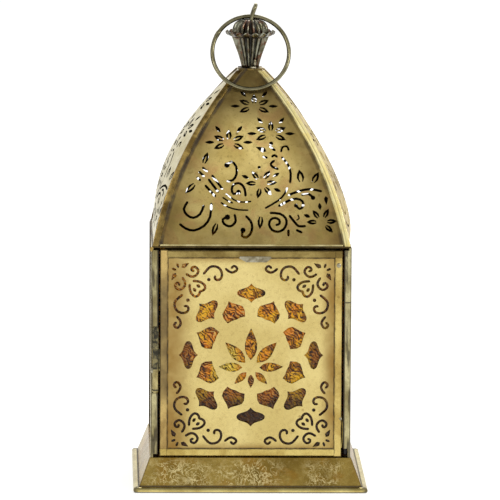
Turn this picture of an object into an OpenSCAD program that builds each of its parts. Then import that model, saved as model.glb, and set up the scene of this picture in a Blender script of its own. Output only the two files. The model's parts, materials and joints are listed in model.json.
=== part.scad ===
// Square pierced-brass candle lantern: flared plinth, glazed walls, hinged door, curved roof and carry ring.
// Millimetres, +Z up, the door faces -Y and its hinge is on the -X side; Z = 0 is the underside of the hem.

/* [Plinth] */
// width of the rolled hem that the lantern stands on
base_w = 138; // [126:1:160]
// height from the table to the top of the plinth
plinth_h = 19.6; // [15:0.2:30]
// height of the rolled hem
hem_h = 3.2; // [2.4:0.2:5]
// width of the hem's flat underside and roll together
hem_w = 5; // [4.6:0.2:8]
// how far the hem stands out from the foot of the skirt
hem_out = 3.3; // [2.4:0.1:3.6]

/* [Body] */
// width across the posts
body_w = 118; // [112:1:124]
// height from the plinth to the eave
body_h = 125.6; // [118:0.2:150]
// width of each flange of a post
post_w = 4.3; // [3.6:0.1:5.2]
// thickness of the brass sheet
sheet = 0.8; // [0.6:0.1:1]
// thickness of the glass
glass_t = 2; // [1.6:0.1:2.4]
// how far the eave frame reaches in past the edge of the floor
ledge_w = 4; // [2:0.5:8]
// height of the lip turned down round the opening of the eave frame
lip_h = 3.2; // [2:0.2:5]

/* [Door] */
// gap between the door and the posts
door_gap = 1.2; // [1:0.1:1.6]
// how far the door stands in front of the posts
door_proud = 0.8; // [0.4:0.1:1.2]
// width of the folded strips round the door
strip_w = 4.3; // [3.6:0.1:5.5]
// thickness of the folded strips
strip_t = 0.6; // [0.5:0.1:0.8]

/* [Hinge] */
// outer diameter of the hinge knuckles
knuckle_d = 3.6; // [3.4:0.1:4]
// length of one knuckle
knuckle_len = 12.6; // [8:0.2:20]
// diameter of the hinge pin
pin_d = 1.8; // [1.4:0.1:2]
// depth of the leaf that is soldered to the post
leaf_w = 1.7; // [1.4:0.1:1.7]
// thickness of the leaves
leaf_t = 0.7; // [0.6:0.05:0.8]

/* [Roof] */
// how far the roof sheets stand in from the posts at the eave
eave_inset = 1.6; // [1:0.1:3]
// height of the roof from the eave to the crown plate
roof_h = 98.3; // [90:0.1:115]
// width of the roof sheets at the crown
neck_w = 14.5; // [12:0.5:17]
// radius of the curve of the roof sheets
roof_r = 195; // [170:5:320]
// width of each flange of a ridge strip
ridge_w = 3.5; // [2.8:0.1:5]
// thickness of a ridge strip
ridge_t = 0.7; // [0.5:0.1:1]

/* [Piercing] */
// width of the sawn lines
line_w = 1.5; // [1:0.05:1.6]
// radius of the ring of eight lozenges
lozenge_r = 36.9; // [36:0.1:38]
// radius of the ring of eight bells
bell_r = 27.4; // [26.8:0.1:28]
// how far the pattern sits below the middle of the wall
pattern_drop = 1; // [0:0.5:2]

/* [Finial] */
// radius of the fluted cone at the crown
cone_r = 5.2; // [4.8:0.1:6]
// radius of the fluted cone under the brim
cone_top_r = 11.3; // [10:0.1:12]
// height of the fluted cone
cone_h = 18.7; // [14:0.1:24]
// radius of the ruffled brim
brim_r = 15; // [13.5:0.1:16]
// height to which the rim of the brim turns up
brim_rise = 2.6; // [1.5:0.1:3.5]
// height of the ruffles in the rim, up and down
ruffle = 0.7; // [0.3:0.1:0.9]
// height of the fluted dome
dome_h = 9; // [8:0.1:11]
// number of flutes
flutes = 18; // [12:1:22]

/* [Carry ring] */
// radius of the ring to the middle of its wire
ring_r = 22.7; // [21.5:0.1:26]
// diameter of the ring wire
ring_wire = 2.5; // [2:0.1:2.8]
// diameter of the eye wire
eye_wire = 2.4; // [1.8:0.1:2.6]
// height of the eye above the ring wire
eye_h = 8.5; // [6:0.1:10]
// lean of the bent eye in degrees
eye_lean = 20; // [0:1:25]

/* [Candle cup] */
// inner diameter of the cup, for a 38 mm tea light
cup_d = 39.6; // [38.6:0.1:46]
// height of the cup
cup_h = 12; // [8:0.5:18]

/* [Fits] */
// gap between pieces that move past each other
move_gap = 0.3; // [0.2:0.05:0.4]
// gap between curved pieces that are soldered together
seam = 0.05; // [0.03:0.01:0.1]
// radial clearance of the hinge pin in the door knuckle
run_gap = 0.05; // [0.02:0.01:0.1]

/* [Hidden] */
$fn = 64;
body_hw = body_w / 2;
skirt_w = base_w - 2 * hem_out;
skirt_top_w = body_w + 1;
eave_w = body_w - 2 * eave_inset;
eave_z = plinth_h + body_h;
eave_t = sheet;
rim_hw = body_hw - sheet / 2;
wall_hw = body_hw - sheet - 2.2;
wall_h = body_h - eave_t;
glass_hw = wall_hw - 3;
floor_hw = body_hw - sheet * 2 - glass_t - 1.4;
opening_w = 2 * (floor_hw - ledge_w);
wall_in = body_hw - 2 * sheet;

door_w = body_w - 2 * post_w - 2 * door_gap;
door_z0 = plinth_h + 1;
door_z1 = eave_z - eave_t - 1.4;
door_h = door_z1 - door_z0;
door_y = -body_hw - door_proud;
strip_d = 2 * strip_t + sheet + glass_t + 0.2;
pattern_z = (door_z0 + door_z1) / 2 - pattern_drop;
stud_x = door_w / 2 - strip_w / 2;
stud_z = door_z1 - 8.7;

hinge_x = -body_hw + sheet + move_gap + knuckle_d / 2;
hinge_y = -body_hw;
hinge_len = 3 * knuckle_len + 0.4;
pin_head_t = 0.6;
hinge_slot = pin_head_t + move_gap;
hinge_z = (door_z0 + door_z1) / 2 - 4 - hinge_len / 2;

roof_dx = (eave_w - neck_w) / 2;
roof_chord = norm([roof_dx, roof_h]);
roof_off = sqrt(roof_r * roof_r - roof_chord * roof_chord / 4);
roof_cx = (eave_w + neck_w) / 4 - roof_off * roof_h / roof_chord;
roof_cz = roof_h / 2 - roof_off * roof_dx / roof_chord;
roof_a0 = asin(-roof_cz / roof_r);
crown_z = eave_z + roof_h;
crown_t = 1;
crown_out = -0.25;

brim_z = crown_z + crown_t + cone_h;
brim_t = 0.8;
brim_flat = cone_top_r - 0.3;
dome_z = brim_z + brim_t;
eye_r = ring_wire / 2 + 0.25 + eye_wire / 2;
dome_top_r = eye_r + eye_wire / 2 + 0.4;
ring_sag = ring_r - sqrt(ring_r * ring_r - dome_top_r * dome_top_r);
ring_z = dome_z + dome_h + ring_wire / 2 + move_gap + ring_sag;

// half width of the roof at height z above the eave
function roof_hw(z) = roof_cx + sqrt(roof_r * roof_r - pow(z - roof_cz, 2));
// lean of the hanging ring that brings its lowest point just clear of the front roof sheet
function ring_rest(a, n) = n == 0 ? a :
    let (z = ring_z - eave_z - 2 * ring_r * cos(a), slope = asin((z - roof_cz) / roof_r))
    ring_rest(asin((roof_hw(z) + (ring_wire / 2 + ridge_t + move_gap) / cos(slope)) / (2 * ring_r)), n - 1);
ring_lean = ring_rest(20, 12);

// points of a smooth curve through p, n steps to a span
function blend(a, b, c, d, t) =
    (2 * b + (c - a) * t + (2 * a - 5 * b + 4 * c - d) * t * t + (3 * b - a - 3 * c + d) * t * t * t) / 2;
function curve(p, n) = concat(
    [for (i = [0:len(p) - 2], k = [0:n - 1])
        blend(p[max(i - 1, 0)], p[i], p[i + 1], p[min(i + 2, len(p) - 1)], k / n)], [p[len(p) - 1]]);
function heading(q, i) = let (v = q[min(i + 1, len(q) - 1)] - q[max(i - 1, 0)]) atan2(v[1], v[0]);
function polar(r, a) = r * [cos(a), sin(a)];
// round end of a sawn line of width w, opened into a ball of radius r
function line_end(c, a, r, w, n) = let (d = 180 - asin(min(1, w / 2 / r)))
    [for (k = [0:n]) c + polar(r, a - d + 2 * d * k / n)];
function far(p, c, r) = norm(p - c) > r * 1.1;

// one sawn line through the points p, with a ball of radius ball at its end
module vine(p, w = line_w, ball = 0, n = 2) {
    q = curve(p, n);
    m = len(q) - 1;
    r = max(w / 2, ball);
    polygon(concat(
        [for (i = [1:m - 1]) let (v = q[i] + polar(w / 2, heading(q, i) - 90)) if (far(v, q[m], r)) v],
        line_end(q[m], heading(q, m), r, w, ball > 0 ? 7 : 2),
        [for (i = [m - 1:-1:1]) let (v = q[i] + polar(w / 2, heading(q, i) + 90)) if (far(v, q[m], r)) v],
        line_end(q[0], heading(q, 0) + 180, w / 2, w, 2)));
}

// straight sawn line from a to b
module dash(a, b, w = line_w) {
    h = atan2(b[1] - a[1], b[0] - a[0]);
    polygon(concat(line_end(b, h, w / 2, w, 2), line_end(a, h + 180, w / 2, w, 2)));
}

// leaf-shaped hole, pointed at both ends, growing up from the origin
module petal(l, w, n = 4) polygon(concat(
    [for (k = [0:n]) [w / 2 * sin(180 * k / n), l * k / n]],
    [for (k = [n - 1:-1:1]) [-w / 2 * sin(180 * k / n), l * k / n]]));

// leaf-shaped window, widest at two fifths of its height
module leaf(l, w, n = 6) polygon(concat(
    [for (k = [0:n]) [w / 2 * sin(180 * pow(k / n, 0.8)), l * k / n]],
    [for (k = [n - 1:-1:1]) [-w / 2 * sin(180 * pow(k / n, 0.8)), l * k / n]]));

// drop-shaped hole with its point up
module drop(l, w, n = 4) polygon(concat(
    [for (k = [0:n]) [w / 2 * sin(180 * pow(k / n, 0.55)), l * k / n]],
    [for (k = [n - 1:-1:1]) [-w / 2 * sin(180 * pow(k / n, 0.55)), l * k / n]]));

// open petal: a hairpin line with its tip up and a tongue of brass left inside
module loop(l, w, t = 0.9 * line_w, n = 3) {
    li = l - 1.8 * t;
    wi = w - 2 * t;
    polygon(concat(
        [for (k = [0:n]) [-w / 2 * sin(30 + 150 * k / n), l * k / n]],
        [for (k = [n - 1:-1:0]) [w / 2 * sin(30 + 150 * k / n), l * k / n]],
        [for (k = [0:n]) [wi / 2 * sin(30 + 150 * k / n), li * k / n]],
        [for (k = [n - 1:-1:0]) [-wi / 2 * sin(30 + 150 * k / n), li * k / n]]));
}

// open petal from its tip a to its foot b
module loop_at(a, b, w) translate(b) rotate(atan2(a[1] - b[1], a[0] - b[0]) - 90) loop(norm(a - b), w);

// petals set round the origin at the given angles, starting at radius r
module loops(angles, r, l, w = 3.6) for (a = angles) rotate(a - 90) translate([0, r]) loop(l, w);
module petals(angles, r, l, w = 2.2) for (a = angles) rotate(a - 90) translate([0, r]) petal(l, w);

// medallion window with four cusps, longest across
module lozenge(a, b) {
    q = [[0, 1], [0.12, 0.79], [0.26, 0.63], [0.44, 0.53], [0.63, 0.45], [0.83, 0.34], [0.95, 0.19]];
    n = len(q) - 1;
    polygon(concat(
        [for (i = [0:n]) [q[i][0] * a, q[i][1] * b]], [[a, 0]],
        [for (i = [n:-1:1]) [q[i][0] * a, -q[i][1] * b]],
        [for (i = [0:n]) [-q[i][0] * a, -q[i][1] * b]], [[-a, 0]],
        [for (i = [n:-1:1]) [-q[i][0] * a, q[i][1] * b]]));
}

// medallion window shaped like a bell, with its tip outwards
module bell() {
    q = [[0, 7.4], [1.3, 5.7], [2.3, 4.9], [4.5, 3.2], [6.4, 1.5], [6.7, -1], [5.5, -4.8], [2.7, -4.3]];
    n = len(q) - 1;
    polygon(concat(q, [[0, -4.6]], [for (i = [n:-1:1]) [-q[i][0], q[i][1]]]));
}

// lotus in the middle of the medallion
module lotus() {
    translate([0, -3]) leaf(19, 7.4);
    for (s = [-1, 1]) {
        translate([s * 3.3, -4.6]) rotate(-s * 44) leaf(17, 6.8);
        translate([s * 5, -7.4]) rotate(-s * 88) leaf(14, 5.6);
        translate([s * 2.6, -10.2]) rotate(-s * 135) leaf(10, 4.2);
    }
    translate([0, -11.6]) rotate(180) leaf(8, 3.8);
}

// half of the scrollwork of one corner; x runs in from the side of the panel and -y down from its top
module corner_half() {
    vine([[34.2, -5.7], [35.9, -7.1], [38, -7.8], [40.1, -6.8], [40.8, -5.5], [39.8, -4.2], [38.7, -4],
        [37.6, -5]]);
    vine([[21.3, -8.5], [23.2, -6.1], [24.9, -4.6], [26.9, -4.1], [29.4, -4.7], [31.2, -6.4], [31.9, -8.8],
        [31.5, -11], [30.2, -12.1], [28.8, -12.2], [27.8, -11.3], [27.8, -10.1]]);
    vine([[11.1, -8.8], [12.9, -9.9], [14.8, -10.3], [16.7, -9.4], [18, -7.4], [17.4, -5.5], [15.9, -4.4],
        [14.3, -5], [14, -6.4], [15.2, -6.9]]);
    vine([[19, -19], [20.3, -18.7], [21.6, -17.8], [22.1, -16.3], [21.3, -14.9], [19.9, -13.8], [18, -13.1],
        [15.2, -12.9]]);
    dash([18.6, -16.2], [17.6, -15.5], 1.8);
    translate([24.2, -12]) circle(1.1, $fn = 8);
    translate([8.1, -4.8]) rotate(-60) drop(5.2, 2.7);
    dash([6.2, -4.5], [5.6, -3], 1.4);
}

// every hole of a wall or door panel, about the middle of the medallion; w and h are the panel's size
module wall_cuts(w, h) {
    for (i = [0:7]) {
        rotate(i * 45) translate([0, lozenge_r]) lozenge(8.4, i % 2 == 0 ? 5.7 : 6.4);
        rotate(i * 45 + 22.5) translate([0, bell_r]) bell();
    }
    lotus();
    for (sx = [0, 1], sy = [0, 1])
        mirror([sx, 0]) mirror([0, sy])
            translate([-w / 2, h / 2]) {
                corner_half();
                mirror([1, 1]) corner_half();
            }
}

// the scrollwork follows one panel size, so that every wall carries the same pattern as the door
cut_w = door_w - 2 * strip_w;
cut_h = door_h - 2 * strip_w;

// flat pierced sheet standing in the XZ plane, its face towards -Y at y = 0
module pierced_sheet(w, z0, z1, stud = false) translate([0, sheet, pattern_z]) rotate([90, 0, 0])
    linear_extrude(sheet) difference() {
        translate([-w / 2, z0 - pattern_z]) square([w, z1 - z0]);
        wall_cuts(cut_w, cut_h);
        if (stud) translate([stud_x, stud_z - pattern_z]) circle(0.75);
    }

// solid between two levels, square at both, w0 wide below and w1 above
module frustum(w0, w1, z0, z1) intersection_for(a = [0, 90])
    rotate(a) rotate([90, 0, 0]) linear_extrude(2 * max(w0, w1), center = true)
        polygon([[-w0 / 2, z0], [w0 / 2, z0], [w1 / 2, z1], [-w1 / 2, z1]]);

// upright quarter that holds everything in front of both diagonals, set back by gap
module front_quarter(gap, z0, z1) translate([0, 0, z0]) linear_extrude(z1 - z0)
    polygon([[0, -gap], [body_w, -gap - body_w], [-body_w, -gap - body_w]]);

module plinth_skirt() color("goldenrod") difference() {
    frustum(skirt_w, skirt_top_w, hem_h, plinth_h);
    frustum(skirt_w - 2.2 * sheet, skirt_top_w - 2.2 * sheet, hem_h - 0.001, plinth_h - sheet);
    translate([0, 0, plinth_h]) cube([opening_w - 2, opening_w - 2, 4 * sheet], center = true);
}

module plinth_hem() color("darkgoldenrod") for (a = [0:90:270]) rotate(a) intersection() {
    rotate([90, 0, 90]) linear_extrude(base_w, center = true) translate([-base_w / 2, 0])
        polygon(concat([[hem_w, 0], [hem_w, hem_h]],
            [for (k = [0:6]) [hem_h / 2, hem_h / 2] + polar(hem_h / 2, 90 + 30 * k)]));
    front_quarter(0, -1, hem_h + 1);
}

module floor_plate() color("goldenrod") translate([-floor_hw, -floor_hw, plinth_h])
    cube([2 * floor_hw, 2 * floor_hw, sheet]);

module candle_cup() color("gold") translate([0, 0, plinth_h + sheet]) difference() {
    union() {
        cylinder(d = cup_d + 2 * sheet, h = cup_h);
        cylinder(d = cup_d + 8, h = sheet);
    }
    translate([0, 0, sheet]) cylinder(d = cup_d, h = cup_h);
}

// folded angle with its rounded corner at the origin and its flanges along +X and +Y
module post_section(r = 1.4) polygon(concat(
    [for (k = [0:4]) [r, r] + polar(r, 180 + 22.5 * k)],
    [[post_w, 0], [post_w, sheet], [sheet, sheet], [sheet, post_w], [0, post_w]]));

// angle post at the front left; the front flange stops foot above the plinth
module front_post(foot) difference() {
    translate([-body_hw, -body_hw, plinth_h]) linear_extrude(body_h - eave_t) post_section();
    translate([-body_hw + 1.5, -body_hw - 1, plinth_h - 1]) cube([post_w, sheet + 1.2, foot + 1]);
    translate([-body_hw + 1.5, -body_hw - 1, door_z1]) cube([post_w, sheet + 1.2, 4]);
}

module post_front_left() color("goldenrod") difference() {
    front_post(2);
    translate([-body_hw + sheet, -body_hw - 1, hinge_z - hinge_slot])
        cube([post_w, sheet + 1.2, hinge_len + 2 * hinge_slot]);
}

module post_front_right() color("goldenrod") mirror([1, 0, 0]) front_post(5.4);

module post_rear_left() color("goldenrod") translate([0, 0, plinth_h]) mirror([0, 1, 0])
    translate([-body_hw, -body_hw, 0]) linear_extrude(body_h - eave_t) post_section();

module post_rear_right() color("goldenrod") mirror([1, 0, 0]) post_rear_left();

// raised strip along the inner edge of a front post
module bead(z0, z1) translate([-body_hw + post_w - 2.3, -body_hw - 0.5, z0]) linear_extrude(z1 - z0)
    polygon([[0, 0.5], [0.4, 0.1], [0.9, 0], [1.6, 0], [2.2, 0.2], [2.2, 0.5]]);

module jamb_bead_left() color("gold") {
    bead(plinth_h + 2.4, hinge_z - hinge_slot);
    bead(hinge_z + hinge_len + hinge_slot, door_z1 - 0.4);
}

module jamb_bead_right() color("gold") mirror([1, 0, 0]) bead(plinth_h + 5.6, door_z1 - 3.4);

module eave_frame() color("darkgoldenrod") {
    translate([0, 0, eave_z - eave_t]) linear_extrude(eave_t) difference() {
        square(2 * rim_hw, center = true);
        square(opening_w, center = true);
    }
    translate([0, 0, eave_z - eave_t - lip_h]) linear_extrude(lip_h) difference() {
        square(opening_w + 2 * sheet, center = true);
        square(opening_w, center = true);
    }
}

// pierced wall behind the rear flanges of the posts, turned to its side
module wall(a) color("khaki") rotate(a) translate([0, -body_hw + sheet, 0])
    pierced_sheet(2 * wall_hw, plinth_h, plinth_h + wall_h);
module wall_left() wall(-90);
module wall_right() wall(90);
module wall_rear() wall(180);

module pane(a) color("orange") rotate(a) translate([-glass_hw, -wall_in, plinth_h])
    cube([2 * glass_hw, glass_t, wall_h - 6]);
module glass_left() pane(-90);
module glass_right() pane(90);
module glass_rear() pane(180);

// bent tabs soldered to the walls that hold the panes
module glass_clips() color("darkgoldenrod") for (a = [-90, 90, 180], s = [0, 1], z = [16, wall_h - 28])
    rotate(a) mirror([s, 0, 0]) translate([glass_hw, -wall_in, plinth_h + z]) linear_extrude(6)
        polygon([[0.3, 0], [2.6, 0], [2.6, 0.6], [0.9, 0.6], [0.9, glass_t + 0.7], [-2, glass_t + 0.7],
            [-2, glass_t + 0.1], [0.3, glass_t + 0.1]]);

// curved sheet of the front roof face, from radius r0 to radius r1 of the roof arc
module roof_shell(r0, r1) translate([0, 0, eave_z]) rotate([90, 0, 90])
    linear_extrude(2 * body_w, center = true) intersection() {
        translate([-roof_cx, roof_cz]) difference() {
            circle(r1, $fn = 720);
            circle(r0, $fn = 720);
        }
        translate([-body_w, 0]) square([body_w, roof_h]);
    }

// holes cut square to the roof sheet round the point p, given as [across, up the sheet from the eave]
module pierce(p) {
    a = roof_a0 + p[1] / roof_r * 180 / PI;
    translate([p[0], -roof_cx - roof_r * cos(a), eave_z + roof_cz + roof_r * sin(a)]) rotate([90 - a, 0, 0])
        translate([0, 0, -sheet - 1]) linear_extrude(sheet + 2) translate(-p) children();
}

module flower(p) pierce(p) translate(p) {
    loops([90], 2, 6.3);
    loops([25, 155, 205, 335], 3.4, 6.4);
    petals([0, 180], 8.2, 6);
    petals([53, 127], 7.9, 5.4);
}

// scrolls, leaves and flowers of one roof sheet, in millimetres across it and up it from the eave
module roof_cuts() {
    flower([1.9, 86.6]);
    flower([11.6, 68.5]);
    flower([-13.2, 62.9]);
    pierce([5.8, 37.5]) translate([5.8, 37.5]) {
        loops([127, 57, 4, 180, 256, 310], 3.4, 6, 3.3);
        petals([31, 157, 337], 7.8, 4.8);
        translate([-1.2, 9.8]) circle(1, $fn = 8);
    }
    pierce([41.3, 14.4]) translate([41.3, 14.4]) {
        loops([4, 63, 127, 180, 317], 3.2, 5.8, 3.2);
        petals([97, 157], 7.2, 4.4);
    }
    pierce([-27, 53]) loop_at([-25.6, 56.6], [-28, 49.7], 3.6);
    pierce([-29, 43]) {
        dash([-28.5, 46.9], [-26.2, 44.8]);
        dash([-30.6, 44.4], [-28, 41.9]);
        dash([-31.8, 41], [-30.2, 39.3]);
    }
    pierce([-36, 34]) loop_at([-38.9, 31.3], [-33.5, 37], 3.8);
    pierce([-22, 36]) {
        dash([-23, 42.1], [-17.2, 34.2]);
        dash([-25.1, 39.7], [-19.7, 32.4]);
        dash([-27, 36], [-21.4, 29.7]);
    }
    pierce([-33, 17]) {
        vine([[-37.7, 26], [-39.8, 22], [-37.9, 18.4], [-34.1, 16.8], [-30.2, 19], [-28.1, 23.9]]);
        vine([[-42, 12.9], [-38.4, 10.3], [-33.7, 9.3], [-27.8, 12.1], [-24.3, 17.5], [-23.6, 25.2]]);
    }
    pierce([-22, 10]) loop_at([-23.1, 6.1], [-20.4, 13.3], 3.6);
    pierce([-13, 15]) vine([[-9.9, 18.5], [-9.3, 15.1], [-11, 12.5], [-13.4, 11.8], [-16.2, 13.3],
        [-16.9, 15.9], [-14.2, 17.2]], ball = 1.7);
    pierce([-2, 11]) vine([[-3.1, 17.7], [-0.5, 14.8], [0.4, 11.1], [-0.7, 7.3], [-3.1, 5.3], [-5.6, 6.2],
        [-5, 9.5]], ball = 1.6);
    pierce([-11, 45]) vine([[-14.2, 38.8], [-11, 39.4], [-8.8, 42.9], [-9, 47.8], [-11.7, 50.8],
        [-14.4, 48.6]], ball = 1.7);
    pierce([-7, 34]) vine([[-3.5, 30.1], [-4, 34], [-5.6, 36.6], [-7.8, 37.6], [-10.5, 36.6], [-11.6, 34],
        [-10.6, 31], [-7.6, 32.2]], ball = 1.5);
    pierce([-9, 26]) {
        vine([[-14.9, 31.1], [-10, 27.4], [-5.5, 26.2], [-0.5, 26.6]], 1);
        vine([[-16.8, 28.9], [-14, 27], [-11.2, 25.7]], 1);
        vine([[-17.8, 25.8], [-13.5, 23.1], [-7.8, 21.6], [-2.1, 21.4]], 1);
    }
    pierce([12, 58]) {
        translate([11.7, 62.2]) circle(1.3, $fn = 8);
        dash([10.9, 60.5], [13.8, 57.9]);
        translate([9, 57.2]) rotate(66) drop(7.2, 3.2);
        vine([[17.6, 57.2], [18.4, 59.9], [21, 60.4], [22, 58.2]], 1.3);
        dash([7.1, 54], [9.1, 53.3]);
        vine([[12.3, 54], [13.6, 54.9], [15, 53.9]]);
    }
    pierce([20, 46]) vine([[18.1, 53.5], [21.6, 48.9], [23.1, 43.7], [22.8, 38.2]], 1.4);
    pierce([13, 49]) vine([[13.3, 51.3], [11.4, 49.5], [12.5, 47.6], [15.5, 46.3]]);
    pierce([15, 28]) vine([[21, 34.8], [19.5, 31.3], [15.8, 27.2], [8.3, 22.7]], 1.2);
    pierce([32, 33]) vine([[22, 30.5], [27.8, 32.8], [34.4, 34.1], [41, 32.8]]);
    pierce([25, 26]) vine([[16.2, 24], [22, 27.2], [26.5, 28.3], [29.9, 26.8], [30.3, 23.8], [28.3, 22.2],
        [26.1, 24.2]], ball = 1.2);
    pierce([33, 30]) vine([[29.7, 30.7], [33.6, 31.2], [36.2, 28.9]], ball = 1.4);
    pierce([29, 42]) loop_at([28.1, 46], [29.3, 38.5], 4.6);
    pierce([38, 41]) loop_at([39.6, 44.5], [36.4, 38.3], 4);
    pierce([5, 14]) loop_at([4.8, 10.1], [5.5, 17.5], 3.6);
    pierce([15, 14]) vine([[11.2, 19.8], [16.7, 19.3], [20.1, 16.6], [20.5, 13.2], [18.7, 10], [15.4, 8.6],
        [12, 9.8], [10.3, 13], [11.4, 15.9], [13.9, 16.8], [16.3, 15.6], [16.4, 13.4], [14.8, 12.7]],
        ball = 0.7);
    pierce([27, 14]) {
        vine([[22.4, 18.1], [25.2, 14.5], [27.7, 12], [31.4, 12]]);
        vine([[26.6, 15.6], [28, 16.6], [27.3, 18.6]], 0.9);
        dash([21.7, 9.4], [21.7, 6.5]);
        dash([26.6, 9.6], [29.4, 8.3]);
    }
    pierce([44, 27]) translate([43.7, 30]) rotate(184) drop(5.4, 2.4);
}

module roof(a) color("darkkhaki") rotate(a) difference() {
    intersection() {
        roof_shell(roof_r - sheet, roof_r);
        front_quarter(0.1, eave_z - 1, crown_z + 1);
    }
    roof_cuts();
}
module roof_front() roof(0);
module roof_left() roof(-90);
module roof_right() roof(90);
module roof_rear() roof(180);

// folded strip over the front left corner of the roof: one flange on each sheet, mitred on the corner
module ridge(a) color("gold") rotate(a) for (m = [0, 1]) mirror([m, -m, 0]) intersection() {
    roof_shell(roof_r + seam, roof_r + seam + ridge_t);
    translate([0, 0, eave_z - 1]) linear_extrude(roof_h + 2)
        polygon([[0, 0], [ridge_w, 0], [ridge_w - body_w, -body_w], [-body_w, -body_w]]);
}
module ridge_front_left() ridge(0);
module ridge_front_right() ridge(90);
module ridge_rear_left() ridge(-90);
module ridge_rear_right() ridge(180);

// two holes for the legs of the eye
module eye_holes(z0, z1) for (s = [-1, 1]) translate([0, s * eye_r, z0])
    cylinder(d = eye_wire + 2 * seam, h = z1 - z0);

module crown_plate() color("darkgoldenrod") difference() {
    translate([0, 0, crown_z]) linear_extrude(crown_t) square(neck_w + 2 * crown_out, center = true);
    eye_holes(crown_z - 1, crown_z + crown_t + 1);
}

// fluted solid of revolution through the [radius, height, flute depth] rows of p
module fluted(p, n) {
    k = 4 * n;
    m = len(p);
    rings = [for (i = [0:m - 1], j = [0:k - 1])
        let (r = p[i][0] + p[i][2] * (cos(360 * j / k * n) - 1) / 2)
        [r * cos(360 * j / k), r * sin(360 * j / k), p[i][1]]];
    polyhedron(rings, concat(
        [[for (j = [0:k - 1]) j]],
        [[for (j = [k - 1:-1:0]) (m - 1) * k + j]],
        [for (i = [0:m - 2], j = [0:k - 1], h = [0, 1]) h == 0 ?
            [i * k + (j + 1) % k, i * k + j, (i + 1) * k + j] :
            [i * k + (j + 1) % k, (i + 1) * k + j, (i + 1) * k + (j + 1) % k]]));
}

module finial_cone() color("darkkhaki") difference() {
    translate([0, 0, crown_z + crown_t]) fluted([[cone_r, 0, 0.6], [cone_r + 1.6, cone_h * 0.35, 0.9],
        [cone_top_r, cone_h, 1.3]], flutes);
    eye_holes(crown_z, brim_z + 1);
}

// brim between cone and dome, flat in the middle and ruffled upwards at the rim
module finial_brim() color("darkkhaki") difference() {
    translate([0, 0, brim_z]) {
        k = 4 * flutes;
        rows = [for (i = [0:3]) i / 3];
        top = [for (u = rows, j = [0:k - 1]) let (r = brim_flat + (brim_r - brim_flat) * u)
            [r * cos(360 * j / k), r * sin(360 * j / k),
                brim_t + brim_rise * u * u + ruffle * u * cos(360 * j / k * flutes)]];
        low = [for (u = rows, j = [0:k - 1]) let (r = brim_flat + (brim_r - brim_flat) * u)
            [r * cos(360 * j / k), r * sin(360 * j / k),
                brim_rise * u * u + ruffle * u * cos(360 * j / k * flutes)]];
        b = 4 * k;
        polyhedron(concat(top, low), concat(
            [[for (j = [k - 1:-1:0]) j]],
            [[for (j = [0:k - 1]) b + j]],
            [for (i = [0:2], j = [0:k - 1], h = [0, 1]) h == 0 ?
                [i * k + j, i * k + (j + 1) % k, (i + 1) * k + j] :
                [i * k + (j + 1) % k, (i + 1) * k + (j + 1) % k, (i + 1) * k + j]],
            [for (i = [0:2], j = [0:k - 1], h = [0, 1]) h == 0 ?
                [b + i * k + (j + 1) % k, b + i * k + j, b + (i + 1) * k + j] :
                [b + (i + 1) * k + (j + 1) % k, b + i * k + (j + 1) % k, b + (i + 1) * k + j]],
            [for (j = [0:k - 1], h = [0, 1]) h == 0 ?
                [3 * k + j, 3 * k + (j + 1) % k, b + 3 * k + j] :
                [3 * k + (j + 1) % k, b + 3 * k + (j + 1) % k, b + 3 * k + j]]));
    }
    eye_holes(brim_z - 1, dome_z + 1);
}

module finial_dome() color("darkkhaki") difference() {
    translate([0, 0, dome_z]) fluted([for (i = [0:5])
        let (t = i / 5, r = dome_top_r + (brim_flat - 0.2 - dome_top_r) * pow(cos(90 * t), 0.75))
        [r, dome_h * sin(90 * t), 1.1 * (1 - t)]], flutes);
    eye_holes(dome_z - 1, dome_z + dome_h + 1);
}

// bent wire through the stations s, each [point, turn in the plane of the loop, lean of that plane]
module wire(s, r, k = 12) {
    m = len(s);
    rings = [for (q = s, j = [0:k - 1]) let (d = [sin(q[2]), 0, cos(q[2])], f = 360 * j / k)
        q[0] + r * (cos(f) * [cos(q[2]), 0, -sin(q[2])] + sin(f) * (cos(q[1]) * [0, 1, 0] - sin(q[1]) * d))];
    polyhedron(rings, concat(
        [[for (j = [0:k - 1]) j]],
        [[for (j = [k - 1:-1:0]) (m - 1) * k + j]],
        [for (i = [0:m - 2], j = [0:k - 1], h = [0, 1]) h == 0 ?
            [i * k + (j + 1) % k, i * k + j, (i + 1) * k + j] :
            [i * k + (j + 1) % k, (i + 1) * k + j, (i + 1) * k + (j + 1) % k]]));
}

// wire staple: two legs down through the finial and, above the dome, a leaning loop that holds the ring
module ring_eye() color("darkgoldenrod") {
    bend_z = dome_z + dome_h + 0.2;
    leg_h = ring_z + eye_h - eye_wire / 2 - eye_r - bend_z;
    up = [sin(eye_lean), 0, cos(eye_lean)];
    wire(concat(
        [[[0, -eye_r, crown_z - 3], 0, 0], [[0, -eye_r, bend_z], 0, eye_lean / 2]],
        [for (a = [0:18:180]) [[0, -eye_r * cos(a), bend_z] + up * (leg_h + eye_r * sin(a)), a, eye_lean]],
        [[[0, eye_r, bend_z], 180, eye_lean / 2], [[0, eye_r, crown_z - 3], 180, 0]]), eye_wire / 2);
}

// washer under the crown plate that the legs of the eye are soldered into
module eye_washer() color("darkgoldenrod") difference() {
    translate([0, 0, crown_z - 0.8]) cylinder(r = eye_r + eye_wire / 2 + 0.6, h = 0.8);
    eye_holes(crown_z - 2, crown_z + 1);
}

module carry_ring() color("darkgoldenrod") translate([0, 0, ring_z]) rotate([90 - ring_lean, 0, 0])
    translate([0, -ring_r, 0]) rotate_extrude() translate([ring_r, 0]) circle(d = ring_wire);

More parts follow.
